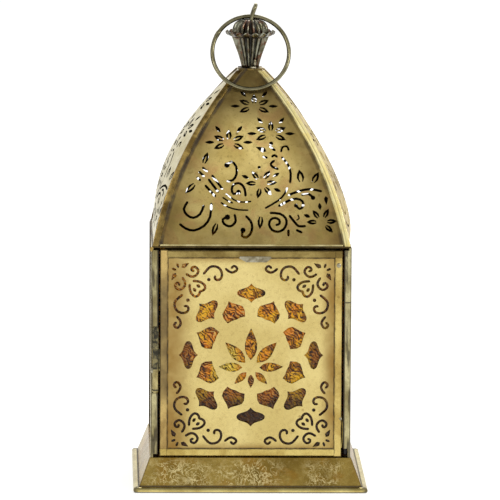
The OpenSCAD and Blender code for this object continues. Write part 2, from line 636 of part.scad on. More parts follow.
// knuckles on the post: each a bored barrel with a leaf soldered inside the side flange
module hinge_post_knuckles() color("goldenrod") for (i = [0, 2])
    translate([0, 0, hinge_z + i * (knuckle_len + 0.2)]) difference() {
        union() {
            translate([hinge_x, hinge_y, 0]) cylinder(d = knuckle_d, h = knuckle_len);
            translate([-body_hw + sheet, hinge_y + sheet + 0.4, 0]) {
                cube([leaf_t, leaf_w, knuckle_len]);
                cube([knuckle_d / 2, leaf_t, knuckle_len]);
            }
        }
        translate([hinge_x, hinge_y, -1]) cylinder(d = pin_d + 2 * seam, h = knuckle_len + 2);
    }

module hinge_pin() color("gold") translate([hinge_x, hinge_y, hinge_z]) {
    translate([0, 0, -pin_head_t]) cylinder(d = pin_d + 1, h = pin_head_t);
    cylinder(d = pin_d, h = hinge_len);
    translate([0, 0, hinge_len]) cylinder(d = pin_d + 1, h = pin_head_t);
}

// middle knuckle with its arm to the edge of the door
module hinge_door_knuckle() color("gold") translate([0, 0, hinge_z + knuckle_len + 0.2]) difference() {
    union() {
        translate([hinge_x, hinge_y, 0]) cylinder(d = knuckle_d, h = knuckle_len);
        translate([hinge_x, hinge_y + knuckle_d / 2 - leaf_t - seam, 0])
            cube([-door_w / 2 - hinge_x, leaf_t, knuckle_len]);
        translate([-door_w / 2 - 0.6, door_y + 0.6, 0]) cube([0.6, strip_d - 1.2, knuckle_len]);
    }
    translate([hinge_x, hinge_y, -1]) cylinder(d = pin_d + 2 * run_gap, h = knuckle_len + 2);
}

// folded channel section: the web along X = 0 and the open side towards +X, the front at Y = 0
module strip_section() polygon([[0, 0.4], [0.4, 0], [strip_w, 0], [strip_w, strip_t], [strip_t, strip_t],
    [strip_t, strip_d - strip_t], [strip_w, strip_d - strip_t], [strip_w, strip_d], [0.4, strip_d],
    [0, strip_d - 0.4]]);

module door_stile_left() color("gold") translate([-door_w / 2, door_y, door_z0 + strip_w])
    linear_extrude(door_h - strip_w) strip_section();

module door_stile_right() color("gold") difference() {
    translate([door_w / 2, door_y, door_z0]) mirror([1, 0, 0])
        linear_extrude(door_h - strip_w) strip_section();
    translate([stud_x, door_y - 1, stud_z]) rotate([-90, 0, 0]) cylinder(r = 0.75, h = 1 + strip_t + 0.1);
}

module door_rail_top() color("gold") translate([-door_w / 2 + strip_w, door_y, door_z1]) rotate([0, 90, 0])
    linear_extrude(door_w - strip_w) strip_section();

module door_rail_bottom() color("gold") translate([door_w / 2 - strip_w, door_y, door_z0]) rotate([0, -90, 0])
    linear_extrude(door_w - strip_w) strip_section();

module door_panel() color("khaki") translate([0, door_y + strip_t, 0])
    pierced_sheet(door_w - 2 * strip_t - 0.2, door_z0 + strip_t + 0.1, door_z1 - strip_t - 0.1, true);

module door_glass() color("orange") translate([-door_w / 2 + strip_t + 0.6, door_y + strip_t + sheet + 0.1,
    door_z0 + strip_t + 0.6]) cube([door_w - 2 * strip_t - 1.2, glass_t, door_h - 2 * strip_t - 1.2]);

// small domed stud through the latch stile and the panel
module door_stud() color("gold") translate([stud_x, door_y, stud_z]) rotate([90, 0, 0]) {
    rotate_extrude() intersection() {
        translate([0, -1]) circle(1.8);
        square([1.4, 1]);
    }
    translate([0, 0, -strip_t - sheet]) cylinder(r = 0.7, h = strip_t + sheet);
}

// bowed spring on the edge of the door that presses on the post
module catch_spring() color("darkgoldenrod") translate([door_w / 2, door_y + 0.7, door_z0 + 5]) {
    bow = door_gap - move_gap - 0.3;
    translate([0, strip_d - 1.6, 0]) rotate([90, 0, 0]) linear_extrude(strip_d - 1.6) polygon(concat(
        [for (k = [0:8]) [bow * sin(22.5 * k), 19 * k / 8]],
        [for (k = [8:-1:0]) [0.3 + bow * sin(22.5 * k), 19 * k / 8]]));
}

// flat tab soldered to the top rail and lapped over the panel
module door_tab() color("silver") translate([0, door_y, door_z1 - 6.9]) rotate([90, 0, 0]) linear_extrude(0.4)
    polygon([[-3, 0], [8.8, 0], [11.8, 2.4], [11.4, 3.4], [-6.9, 3.4], [-7.3, 2.4]]);

// name of the one piece to show, or all

plinth_skirt();
plinth_hem();
floor_plate();
candle_cup();
post_front_left();
post_front_right();
post_rear_left();
post_rear_right();
jamb_bead_left();
jamb_bead_right();
eave_frame();
wall_left();
wall_right();
wall_rear();
glass_left();
glass_right();
glass_rear();
glass_clips();
roof_front();
roof_left();
roof_right();
roof_rear();
ridge_front_left();
ridge_front_right();
ridge_rear_left();
ridge_rear_right();
crown_plate();
finial_cone();
finial_brim();
finial_dome();
ring_eye();
eye_washer();
carry_ring();
hinge_post_knuckles();
hinge_pin();
hinge_door_knuckle();
door_stile_left();
door_stile_right();
door_rail_top();
door_rail_bottom();
door_panel();
door_glass();
door_stud();
catch_spring();
door_tab();
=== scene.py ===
# Square pierced-brass candle lantern with amber glass, standing on a pale studio floor.
# The script follows the lantern as it is put together, from the camera and the foot to the door.
import json
import math
import random

import bmesh
import bpy
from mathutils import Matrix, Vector


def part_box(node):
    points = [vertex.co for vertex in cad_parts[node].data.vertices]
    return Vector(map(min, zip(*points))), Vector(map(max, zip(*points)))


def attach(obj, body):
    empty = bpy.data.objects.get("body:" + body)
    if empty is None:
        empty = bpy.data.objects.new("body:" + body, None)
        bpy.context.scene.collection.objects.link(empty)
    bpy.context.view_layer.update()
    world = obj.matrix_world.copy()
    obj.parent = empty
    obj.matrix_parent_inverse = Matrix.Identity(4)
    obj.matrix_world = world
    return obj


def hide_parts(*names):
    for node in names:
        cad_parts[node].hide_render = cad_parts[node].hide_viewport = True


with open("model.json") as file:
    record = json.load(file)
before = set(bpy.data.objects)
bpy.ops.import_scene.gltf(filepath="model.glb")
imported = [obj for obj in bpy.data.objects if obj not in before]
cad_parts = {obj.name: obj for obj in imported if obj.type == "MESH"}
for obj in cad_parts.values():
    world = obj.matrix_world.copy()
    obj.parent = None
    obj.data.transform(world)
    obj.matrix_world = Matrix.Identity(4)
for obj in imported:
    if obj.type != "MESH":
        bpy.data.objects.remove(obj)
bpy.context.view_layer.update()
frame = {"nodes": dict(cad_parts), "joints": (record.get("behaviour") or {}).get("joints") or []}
nodes = frame["nodes"]


# Camera: a long lens nearly four metres off, a little left of the door and above the roof, and held
# a third of a degree askew. Its focal length is given in pixels of the square picture.
focal_px, picture_px, sensor_mm = 6417, 500, 36
eye_turn, eye_distance, eye_height = math.radians(1.4), 3.7893, 0.6739
eye_pitch, eye_heading, eye_roll = math.radians(8.096), math.radians(1.408), math.radians(0.333)
bpy.ops.object.select_all(action="DESELECT")
bpy.ops.object.camera_add(
    location=(-eye_distance * math.sin(eye_turn), -eye_distance * math.cos(eye_turn), eye_height),
    rotation=(math.pi / 2 - eye_pitch, 0, -eye_heading)
)
camera = bpy.context.object
camera.rotation_euler.rotate_axis("Z", eye_roll)
camera.data.sensor_width = sensor_mm
camera.data.lens = sensor_mm * focal_px / picture_px
bpy.context.scene.camera = camera


# Studio: a white tent with dark flags at both sides and an open room in front, which the metal
# mirrors, soft lamps and a pale floor that is white to the camera and keeps the lantern's shadow.
bpy.context.scene.view_settings.view_transform = "Standard"


def put(tree, kind, sockets, **settings):
    """Adds a node, links the sockets that are given as sockets and sets the others."""
    made = tree.nodes.new(kind)
    for key, value in settings.items():
        setattr(made, key, value)
    for key, value in sockets.items():
        if isinstance(value, bpy.types.NodeSocket):
            tree.links.new(value, made.inputs[key])
        else:
            made.inputs[key].default_value = value
    return made


def calc(tree, operation, first, second=0.0):
    return put(tree, "ShaderNodeMath", {0: first, 1: second}, operation=operation).outputs[0]


def axes(tree, place):
    return put(tree, "ShaderNodeSeparateXYZ", {0: place}).outputs


def ramp(tree, value, start, end, low=0.0, high=1.0):
    sockets = {"Value": value, "From Min": start, "From Max": end, "To Min": low, "To Max": high}
    return put(tree, "ShaderNodeMapRange", sockets, interpolation_type="SMOOTHSTEP").outputs[0]


def times(tree, *shares):
    product = shares[0]
    for share in shares[1:]:
        product = calc(tree, "MULTIPLY", product, share)
    return product


def most(tree, *shares):
    largest = shares[0]
    for share in shares[1:]:
        largest = calc(tree, "MAXIMUM", largest, share)
    return largest


def without(tree, share):
    """What this share leaves of the whole."""
    return calc(tree, "SUBTRACT", 1.0, share)


def mirrored(tree):
    """1 for the rays that show the surroundings in metal or glass, and 1 for the camera's own rays."""
    path = put(tree, "ShaderNodeLightPath", {}).outputs
    return most(tree, path["Is Glossy Ray"], path["Is Transmission Ray"]), path["Is Camera Ray"]


tent_light, white = 0.6, (1, 1, 1, 1)
world = bpy.data.worlds.new("white_tent")
bpy.context.scene.world = world
world.use_nodes = True
sky = world.node_tree
sky.nodes.clear()
look = axes(sky, put(sky, "ShaderNodeTexCoord", {}).outputs["Generated"])
room_tones = ((0.0, 1.0), (0.06, 0.48), (0.40, 0.48), (0.56, 0.70), (0.68, 1.0), (0.80, 1.0), (0.90, 0.35))
room = put(sky, "ShaderNodeValToRGB", {0: look[2]})
stops = room.color_ramp.elements
for tone_place, tone in room_tones[1:-1]:
    stops.new(tone_place)
for stop, (tone_place, tone) in zip(stops, room_tones):
    stop.position, stop.color = tone_place, (tone, tone, tone, 1)
in_front = ramp(sky, look[1], -0.05, -0.45)
open_room = times(sky, in_front, without(sky, room.outputs[0]))
left_flag = ramp(sky, look[0], -0.60, -0.92, 0.0, 0.6)
right_flag = times(sky, ramp(sky, look[0], 0.72, 0.95), ramp(sky, look[2], 0.32, 0.12, 0.0, 0.6))
ceiling = ramp(sky, look[2], 0.84, 0.96, 0.0, 0.75)
tent = times(sky, *[without(sky, dark) for dark in (open_room, left_flag, right_flag, ceiling)])
in_metal, in_camera = mirrored(sky)
shown = calc(sky, "ADD", tent_light, times(sky, in_metal, calc(sky, "SUBTRACT", tent, tent_light)))
shown = most(sky, shown, in_camera)
glow = put(sky, "ShaderNodeBackground", {"Color": white, "Strength": shown})
put(sky, "ShaderNodeOutputWorld", {0: glow.outputs[0]})

lamp_aim = Vector((0, 0, 0.15))
lamps = (
    ("lamp_left", (-1.3, -1.5, 1.3), 0.9, 9),
    ("lamp_right", (1.5, -0.9, 1.0), 0.7, 11),
    ("lamp_rear", (0.2, 1.5, 1.5), 1.0, 11),
)
for lamp_name, lamp_place, lamp_size, lamp_watts in lamps:
    bpy.ops.object.light_add(type="AREA", location=lamp_place)
    lamp = bpy.context.object
    lamp.name = lamp_name
    lamp.data.size = lamp_size
    lamp.data.energy = lamp_watts
    lamp.rotation_euler = (lamp_aim - lamp.location).to_track_quat("-Z", "Y").to_euler()

floor_size, floor_level, floor_white = 10.0, -0.0002, (0.86, 0.86, 0.85, 1)
floor_glow, floor_in_metal = 0.5, 0.35
bpy.ops.mesh.primitive_plane_add(size=floor_size, location=(0, 0, floor_level))
floor = bpy.context.object
floor.name = "studio_floor"
floor_paint = bpy.data.materials.new("pale_floor")
floor_paint.use_nodes = True
paint = floor_paint.node_tree
matt = paint.nodes["Principled BSDF"]
matt.inputs["Base Color"].default_value = floor_white
matt.inputs["Roughness"].default_value = 0.9
matt.inputs["Specular IOR Level"].default_value = 0.1
matt.inputs["Emission Color"].default_value = white
in_metal, in_camera = mirrored(paint)
lit = calc(paint, "ADD", times(paint, in_metal, floor_in_metal), times(paint, in_camera, floor_glow))
paint.links.new(lit, matt.inputs["Emission Strength"])
floor.data.materials.append(floor_paint)


# Plinth: a flared skirt folded from brass sheet, with a rolled hem at its foot that the lantern
# stands on. Polish and water have left pale tide marks on the front of the skirt.
def srgb(red, green, blue):
    """Colour given in screen values from 0 to 255, as the linear values that shaders take."""
    def linear(v):
        return v / 12.92 if v <= 0.04045 else ((v + 0.055) / 1.055) ** 2.4
    return (linear(red / 255), linear(green / 255), linear(blue / 255), 1)


def new_finish(name):
    """Empty finish: the material, its nodes, Object coordinates, the normal and the shader."""
    material = bpy.data.materials.new(name)
    material.use_nodes = True
    tree = material.node_tree
    given = put(tree, "ShaderNodeTexCoord", {}).outputs
    return material, tree, given["Object"], given["Normal"], tree.nodes["Principled BSDF"]


def noise(tree, place, per_metre, detail, rough=0.55, warp=0.0):
    sockets = {"Vector": place, "Scale": per_metre, "Detail": detail, "Roughness": rough,
               "Distortion": warp}
    return put(tree, "ShaderNodeTexNoise", sockets).outputs[0]


def tint(tree, share, low, high):
    return put(tree, "ShaderNodeMix", {0: share, 6: low, 7: high}, data_type="RGBA").outputs[2]


def inner_side(tree, place, normal):
    """1 on the faces of a wall or roof sheet that look towards the candle."""
    p, n = axes(tree, place), axes(tree, normal)
    facing = calc(tree, "ADD", times(tree, p[0], n[0]), times(tree, p[1], n[1]))
    return ramp(tree, facing, 0.0, -0.006)


def apart(tree, first, second):
    return calc(tree, "ABSOLUTE", calc(tree, "SUBTRACT", first, second))


def band(tree, value, centre, half, soft):
    """1 where the value is within half of the centre, fading over soft."""
    return ramp(tree, apart(tree, value, centre), half + soft, half)


def reach(tree, p):
    """How far a place is from the lantern's axis across its nearer and its farther side."""
    across, along = calc(tree, "ABSOLUTE", p[0]), calc(tree, "ABSOLUTE", p[1])
    return calc(tree, "MINIMUM", across, along), calc(tree, "MAXIMUM", across, along)


def from_corner(tree, p):
    """How far a place is from the nearest corner, along the side that it is on."""
    near, far = reach(tree, p)
    return calc(tree, "SUBTRACT", far, near)


mottle_scale, dot_scale, dotted_scale, bloom_scale = 420, 210, 75, 52


def aged_brass(name, pale, deep, stain_and_shade_colour, cloud=42, tone=(0.36, 0.66), mottled=0.35, spots=0.5, smooth=0.25,
               rough=0.45, wave=0.0003, metal=1.0, bloom=None, stain_and_shade_mask=None, grime_and_shade=None,
               grime_and_shade_colour=srgb(46, 34, 18), soot=None):
    """Hand-worked brass: clouds from pale to deep, a bloom of another hue, mottling and spots, with stains,
    dirt and painted shade laid on by the masks that are given.
    """
    material, tree, place, normal, shader = new_finish(name)
    clouds = noise(tree, place, cloud, 4, 0.55, 0.5)
    mottle = noise(tree, place, mottle_scale, 6, 0.65, 0.3)
    colour = tint(tree, ramp(tree, clouds, *tone), pale, deep)
    if bloom:
        bloomed = ramp(tree, noise(tree, place, bloom_scale, 5, 0.6, 1.0), 0.48, 0.66, 0.0, 0.7)
        colour = tint(tree, bloomed, colour, bloom)
    colour = tint(tree, ramp(tree, mottle, 0.50, 0.78, 0.0, mottled), colour, stain_and_shade_colour)
    dots = put(tree, "ShaderNodeTexVoronoi", {"Vector": place, "Scale": dot_scale}).outputs["Distance"]
    where = ramp(tree, noise(tree, place, dotted_scale, 3), 0.56, 0.68)
    stains_and_shade = times(tree, ramp(tree, dots, 0.26, 0.10), where, spots)
    # The mask and the grime give real stains and dirt on some pieces and painted shade on others.
    if stain_and_shade_mask:
        stains_and_shade = most(tree, stains_and_shade, stain_and_shade_mask(tree, place))
    colour = tint(tree, stains_and_shade, colour, stain_and_shade_colour)
    sheen = ramp(tree, mottle, 0.3, 0.75, smooth, rough)
    sheen = calc(tree, "ADD", sheen, times(tree, stains_and_shade, 0.16))
    if grime_and_shade:
        dirt_and_shade = grime_and_shade(tree, place)
        colour = tint(tree, dirt_and_shade, colour, grime_and_shade_colour)
        sheen = calc(tree, "ADD", sheen, times(tree, dirt_and_shade, 0.4))
        tree.links.new(ramp(tree, dirt_and_shade, 0.3, 0.9, metal, 0.1), shader.inputs["Metallic"])
    else:
        shader.inputs["Metallic"].default_value = metal
    if soot:
        black = inner_side(tree, place, normal)
        colour = tint(tree, black, colour, soot)
        sheen = calc(tree, "ADD", sheen, times(tree, black, 0.25))
    tree.links.new(colour, shader.inputs["Base Color"])
    tree.links.new(sheen, shader.inputs["Roughness"])
    swell = noise(tree, place, cloud * 0.7, 2, 0.4)
    height = calc(tree, "ADD", swell, times(tree, mottle, 0.06))
    dented = put(tree, "ShaderNodeBump", {"Height": height, "Strength": 1.0, "Distance": wave})
    tree.links.new(dented.outputs[0], shader.inputs["Normal"])
    return material


def finish(material, *names):
    """Gives the CAD pieces of these names this finish."""
    for name in names:
        nodes[name].data.materials.clear()
        nodes[name].data.materials.append(material)


def soften(width, *names):
    """Welds the loose triangles of CAD pieces and rounds their folded edges a little."""
    for name in names:
        weld = nodes[name].modifiers.new("weld", "WELD")
        weld.merge_threshold = 1e-6
        fold = nodes[name].modifiers.new("fold", "BEVEL")
        fold.width = width
        fold.segments = 2
        fold.limit_method = "ANGLE"
        fold.angle_limit = math.radians(35)


def tide_marks(tree, place):
    """Pale ragged strokes and tide lines where water and polish dried on the skirt."""
    strokes = band(tree, noise(tree, place, 150, 3, 0.5, 2.4), 0.52, 0.008, 0.022)
    tide = band(tree, noise(tree, place, 70, 6, 0.6, 1.4), 0.50, 0.006, 0.012)
    p = axes(tree, place)
    wiped = most(tree, band(tree, p[0], -0.0220, 0.0280, 0.0200), band(tree, p[0], 0.0440, 0.0070, 0.0080))
    where = times(tree, wiped, band(tree, p[2], 0.0105, 0.0040, 0.0060),
                  ramp(tree, noise(tree, place, 60, 3, 0.55, 0.5), 0.36, 0.56, 0.2, 0.95))
    return times(tree, most(tree, strokes, tide), where)


def skirt_painted_shade(tree, place):
    """Painted shade: a dark line in the crease where the skirt goes into the hem, and along its folded
    corners.
    """
    p = axes(tree, place)
    foot = ramp(tree, p[2], 0.0046, 0.0034, 0.0, 0.85)
    fold = ramp(tree, from_corner(tree, p), 0.0008, 0.0002, 0.0, 0.6)
    return most(tree, foot, fold)


def hem_painted_shade(tree, place):
    """Painted shade: a dark line under the roll and in the crease above it, dark corners and duller sides.
    """
    p = axes(tree, place)
    under = ramp(tree, p[2], 0.0009, 0.0002, 0.0, 0.9)
    far = reach(tree, p)[1]
    crease = times(tree, ramp(tree, p[2], 0.0026, 0.0031), ramp(tree, far, 0.0668, 0.0660, 0.0, 0.9))
    corner = ramp(tree, from_corner(tree, p), 0.0040, 0.0006, 0.0, 0.8)
    sides = ramp(tree, calc(tree, "ABSOLUTE", p[0]), 0.0640, 0.0670, 0.0, 0.22)
    return most(tree, under, crease, corner, sides)


plinth_brass = aged_brass("plinth_brass", srgb(172, 146, 74), srgb(132, 107, 46), srgb(226, 208, 150),
                          cloud=34, mottled=0.2, spots=0.1, smooth=0.2, rough=0.4, bloom=srgb(160, 120, 46),
                          stain_and_shade_mask=tide_marks, grime_and_shade=skirt_painted_shade)
finish(plinth_brass, "plinth_skirt")
hem_brass = aged_brass("hem_brass", srgb(228, 212, 142), srgb(196, 176, 106), srgb(116, 94, 48),
                       cloud=60, mottled=0.12, spots=0.2, smooth=0.16, rough=0.26, wave=0.00005,
                       grime_and_shade=hem_painted_shade)
finish(hem_brass, "plinth_hem")
soften(0.0003, "plinth_skirt")


# Floor of the chamber and the cup for the candle: plain sheet, brown with heat and never polished.
# The cup is soldered to the floor plate by its flange.
heated_brass = aged_brass("heated_brass", srgb(132, 106, 58), srgb(92, 70, 36), srgb(48, 36, 20),
                          cloud=50, mottled=0.6, smooth=0.38, rough=0.6)
finish(heated_brass, "floor_plate", "candle_cup")
soften(0.0002, "candle_cup")


# Posts and jamb beads: folded angles at the corners, and narrow strips beside the door opening.
# Their outer faces are worn pale, with dark streaks, painted shade along their folded edges, and a lapped
# joint on the right post.
posts = ("post_front_left", "post_front_right", "post_rear_left", "post_rear_right")
lap_height = 0.1121


def post_streaks_and_shade(tree, place):
    """Dark streaks down the posts, painted shade along the edges beside the door and at the outer corner,
    and the lap of the right post.
    """
    p = axes(tree, place)
    near = reach(tree, p)[0]
    long_place = put(tree, "ShaderNodeMapping", {"Vector": place, "Scale": (1, 1, 0.12)}).outputs[0]
    streaks = ramp(tree, noise(tree, long_place, 420, 3), 0.50, 0.62, 0.0, 0.72)
    inner_edge = ramp(tree, near, 0.0556, 0.0551, 0.0, 0.9)
    outer_edge = ramp(tree, near, 0.0580, 0.0587, 0.0, 0.9)
    lap = times(tree, band(tree, p[2], lap_height, 0.0002, 0.0003), ramp(tree, p[0], 0.0, 0.01, 0.0, 0.9))
    return most(tree, streaks, inner_edge, outer_edge, lap)


post_brass = aged_brass("post_brass", srgb(196, 186, 140), srgb(136, 124, 84), srgb(80, 66, 38),
                        cloud=48, mottled=0.3, smooth=0.2, rough=0.4, grime_and_shade=post_streaks_and_shade)
finish(post_brass, *posts, "jamb_bead_left", "jamb_bead_right")
soften(0.0002, *posts)


# Eave frame: the flat frame that ties the posts under the roof, with a lip turned down inside.
# It sits in shadow, and its dark colour is painted shade.
shaded_eave_brass = aged_brass("shaded_eave_brass", srgb(90, 75, 44), srgb(60, 49, 28), srgb(30, 24, 13),
                        cloud=70, mottled=0.6, smooth=0.4, rough=0.6)
finish(shaded_eave_brass, "eave_frame")


# Walls: sheets pierced with the same medallion and corner scrolls as the door.
# They are polished pale outside, brown towards their edges, and sooty on the candle's side.
wall_middle = 0.0824


def blotchy(tree, place, least, full):
    """Uneven share from least to full, in blotches."""
    return ramp(tree, noise(tree, place, 60, 4), 0.3, 0.7, least, full)


def wall_rims(tree, place):
    """Brown that gathers along the edges of a wall, where it is soldered behind the posts."""
    p = axes(tree, place)
    across, up = reach(tree, p)[0], apart(tree, p[2], wall_middle)
    rim = most(tree, ramp(tree, across, 0.044, 0.055), ramp(tree, up, 0.052, 0.062))
    return times(tree, rim, blotchy(tree, place, 0.15, 0.75))


soot_brown = srgb(58, 44, 24)
wall_brass = aged_brass("wall_brass", srgb(222, 202, 134), srgb(204, 182, 114), srgb(150, 114, 56),
                        cloud=26, mottled=0.10, spots=0.35, smooth=0.2, rough=0.34, wave=0.0002,
                        stain_and_shade_mask=wall_rims, soot=soot_brown)
finish(wall_brass, "wall_left", "wall_right", "wall_rear")


# Panes: amber glass rolled with a hammered face, held behind the walls and the door by bent tabs.
# Each pane is a fine grid pressed with dimples, turned back at its edges and closed behind.
def begin(name):
    """Takes the primitive that was just added as the piece of this name, in edit mode."""
    piece = bpy.context.object
    piece.name = name
    piece.data.name = name
    bpy.ops.object.mode_set(mode="EDIT")
    return piece


def pick(piece, test):
    """In edit mode, selects the points of the piece whose place passes the test."""
    bpy.ops.mesh.select_all(action="DESELECT")
    bpy.ops.mesh.select_mode(type="VERT")
    shape = bmesh.from_edit_mesh(piece.data)
    for point in shape.verts:
        point.select_set(bool(test(point.co)))
    shape.select_flush_mode()
    bmesh.update_edit_mesh(piece.data)


def apply_modifiers(piece):
    bpy.ops.object.mode_set(mode="OBJECT")
    for modifier in list(piece.modifiers):
        bpy.ops.object.modifier_apply(modifier=modifier.name)


def settle(piece, material, body, slot, *stands_for):
    """Puts the piece's place into its mesh, gives it its finish and body and hides the CAD it covers; the
    slot is not used.
    """
    if bpy.context.mode != "OBJECT":
        bpy.ops.object.mode_set(mode="OBJECT")
    bpy.ops.object.transform_apply(location=True, rotation=True, scale=True)
    piece.data.materials.append(material)
    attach(piece, body)
    if stands_for:
        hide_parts(*stands_for)


def press(piece, lie, kind, size, depth, **settings):
    """Presses a procedural relief into the piece, inwards from its face, stretched as the empty lies."""
    relief = bpy.data.textures.new(piece.name + "_" + kind.lower(), type=kind)
    relief.noise_scale = size
    for key, value in settings.items():
        setattr(relief, key, value)
    stamp = piece.modifiers.new(kind.lower(), "DISPLACE")
    stamp.texture = relief
    stamp.texture_coords = "OBJECT"
    stamp.texture_coords_object = lie
    stamp.direction = "Z"
    stamp.mid_level = 0.0
    stamp.strength = -depth


medallion_height = 0.0806
amber_glass, tree, place, normal, shader = new_finish("hammered_amber")
p = axes(tree, place)
drift, swirl = noise(tree, place, 60, 3, 0.5, 0.8), noise(tree, place, 150, 2, 0.5, 1.5)
gold = tint(tree, ramp(tree, drift, 0.42, 0.58), srgb(255, 192, 44), srgb(244, 138, 20))
amber_colour = tint(tree, ramp(tree, swirl, 0.47, 0.60, 0.0, 0.85), gold, srgb(132, 70, 12))
outer_face = without(tree, inner_side(tree, place, normal))
# Painted light: a yellow patch and an orange upper corner on the outer face stand for light coming through
# the glass from behind.
painted_yellow_light = times(tree, band(tree, p[0], -0.0150, 0.0040, 0.0060),
                     band(tree, p[2], 0.0755, 0.006, 0.008), outer_face)
painted_orange_light = times(tree, ramp(tree, p[0], -0.024, -0.034), ramp(tree, p[2], 0.104, 0.116), outer_face)
amber_colour = tint(tree, painted_yellow_light, amber_colour, srgb(255, 214, 70))
amber_colour = tint(tree, painted_orange_light, amber_colour, srgb(250, 158, 30))
# Painted shade on the outer face: darker towards the bottom, at the side lozenges and outside the
# medallion.
across, up = reach(tree, p)[0], calc(tree, "SUBTRACT", p[2], medallion_height)
from_middle = calc(tree, "SQRT", calc(tree, "ADD", times(tree, across, across), times(tree, up, up)))
shade = most(tree, ramp(tree, p[2], 0.070, 0.046, 0.0, 0.93), ramp(tree, across, 0.031, 0.037, 0.0, 0.65),
             ramp(tree, from_middle, 0.045, 0.052, 0.0, 0.72))
shade = times(tree, shade, without(tree, times(tree, painted_orange_light, 0.6)), outer_face)
amber_colour = tint(tree, shade, amber_colour, srgb(44, 25, 10))
rolled = {"Vector": place, "Scale": 215.0, "Distortion": 11.0, "Detail": 1.0, "Detail Scale": 1.1}
wavy = put(tree, "ShaderNodeTexWave", rolled, bands_direction="DIAGONAL").outputs["Fac"]
crossing = {"Vector": place, "Scale": 190.0, "Distortion": 14.0, "Detail": 1.0, "Detail Scale": 1.6}
wavy_too = put(tree, "ShaderNodeTexWave", crossing, bands_direction="Z").outputs["Fac"]
lines = most(tree, ramp(tree, wavy, 0.34, 0.10), ramp(tree, wavy_too, 0.12, 0.02, 0.0, 0.7))
lines = times(tree, lines, ramp(tree, swirl, 0.34, 0.46, 0.45, 0.95))
amber_colour = tint(tree, lines, amber_colour, srgb(44, 20, 4))
# Painted glints: pale yellow highlights on the crests of the rolled waves, left out where the glass is
# shaded.
painted_glints = times(tree, ramp(tree, wavy, 0.90, 0.99, 0.0, 0.6), ramp(tree, drift, 0.5, 0.6),
               without(tree, shade))
amber_colour = tint(tree, painted_glints, amber_colour, srgb(255, 232, 130))
tree.links.new(amber_colour, shader.inputs["Base Color"])
shader.inputs["Roughness"].default_value = 0.08
shader.inputs["IOR"].default_value = 1.5
shader.inputs["Specular IOR Level"].default_value = 0.25
shader.inputs["Transmission Weight"].default_value = 0.15

pane_step, pane_thick = 0.00042, 0.002
dimple_size, dimple_depth, ripple_size, ripple_depth = 0.0010, 0.0007, 0.0030, 0.0002
roll_turn, roll_stretch = math.radians(32), 1.7
bpy.ops.object.select_all(action="DESELECT")
bpy.ops.object.empty_add(rotation=(0, 0, roll_turn))
roll_marks = bpy.context.object
roll_marks.scale = (roll_stretch, 1, 1)
panes = (("glass_left", "lantern", -90), ("glass_right", "lantern", 90),
         ("glass_rear", "lantern", 180), ("door_glass", "door", 0))
for node_name, body, turn in panes:
    low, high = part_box(node_name)
    middle, size = (low + high) / 2, high - low
    width = max(size.x, size.y)
    faces = {0: (middle.x, low.y), 180: (middle.x, high.y), -90: (low.x, middle.y), 90: (high.x, middle.y)}
    bpy.ops.object.select_all(action="DESELECT")
    bpy.ops.mesh.primitive_grid_add(
        x_subdivisions=round(width / pane_step), y_subdivisions=round(size.z / pane_step), size=1
    )
    pane = begin("pane_" + node_name)
    bpy.ops.transform.resize(value=(width, size.z, 1))
    bpy.ops.object.mode_set(mode="OBJECT")
    press(pane, roll_marks, "VORONOI", dimple_size, dimple_depth)
    press(pane, roll_marks, "WOOD", ripple_size, ripple_depth,
          wood_type="RINGNOISE", turbulence=6, noise_basis_2="SIN")
    apply_modifiers(pane)
    bpy.ops.object.mode_set(mode="EDIT")
    bpy.ops.mesh.select_all(action="SELECT")
    bpy.ops.mesh.region_to_loop()
    bpy.ops.mesh.extrude_edges_move()
    bpy.ops.transform.resize(value=(1, 1, 0), center_override=(0, 0, -pane_thick))
    bpy.ops.mesh.edge_face_add()
    bpy.ops.object.mode_set(mode="OBJECT")
    pane.rotation_euler = (math.radians(90), 0, math.radians(turn))
    pane.location = (*faces[turn], middle.z)
    bpy.ops.object.shade_smooth_by_angle(angle=math.radians(60))
    settle(pane, amber_glass, body, "amber_glass", node_name)
bpy.data.objects.remove(roll_marks)
finish(heated_brass, "glass_clips")


# Roof: four sheets pierced with flowers and scrolls, curved in to the crown and soldered along the
# ridges. The front one is older and greener than the walls; painted shade darkens it at the ridges,
# the eave and the top, so it is warm and light in the middle.
eave_height, ridge_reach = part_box("roof_front")[0].z, 0.0035


def roof_painted_shade(tree, place):
    """Painted shade along the ridges and the eave of a roof sheet, and all over towards its top."""
    p = axes(tree, place)
    shade = ramp(tree, from_corner(tree, p), 0.026, 0.004, 0.0, 0.88)
    eave = ramp(tree, p[2], eave_height + 0.022, eave_height + 0.004, 0.0, 0.6)
    top = ramp(tree, p[2], eave_height + 0.066, eave_height + 0.084)
    return times(tree, most(tree, shade, eave, top), blotchy(tree, place, 0.65, 1.0))


def ridge_painted_shadow(tree, place):
    """Painted shadow: a broken dark line beside each ridge strip, fainter on the right."""
    p = axes(tree, place)
    line = ramp(tree, from_corner(tree, p), ridge_reach + 0.0024, ridge_reach + 0.0009)
    broken = ramp(tree, noise(tree, place, 120, 3), 0.3, 0.6, 0.45, 0.95)
    return times(tree, line, broken, ramp(tree, p[0], -0.001, 0.001, 1.0, 0.6))


roof_brass = aged_brass("roof_brass", srgb(232, 208, 133), srgb(198, 173, 100), srgb(112, 92, 50),
                        cloud=34, mottled=0.6, spots=0.7, smooth=0.24, rough=0.42, wave=0.0005,
                        bloom=srgb(204, 162, 104), stain_and_shade_mask=roof_painted_shade, grime_and_shade=ridge_painted_shadow, soot=soot_brown)
finish(roof_brass, "roof_front")


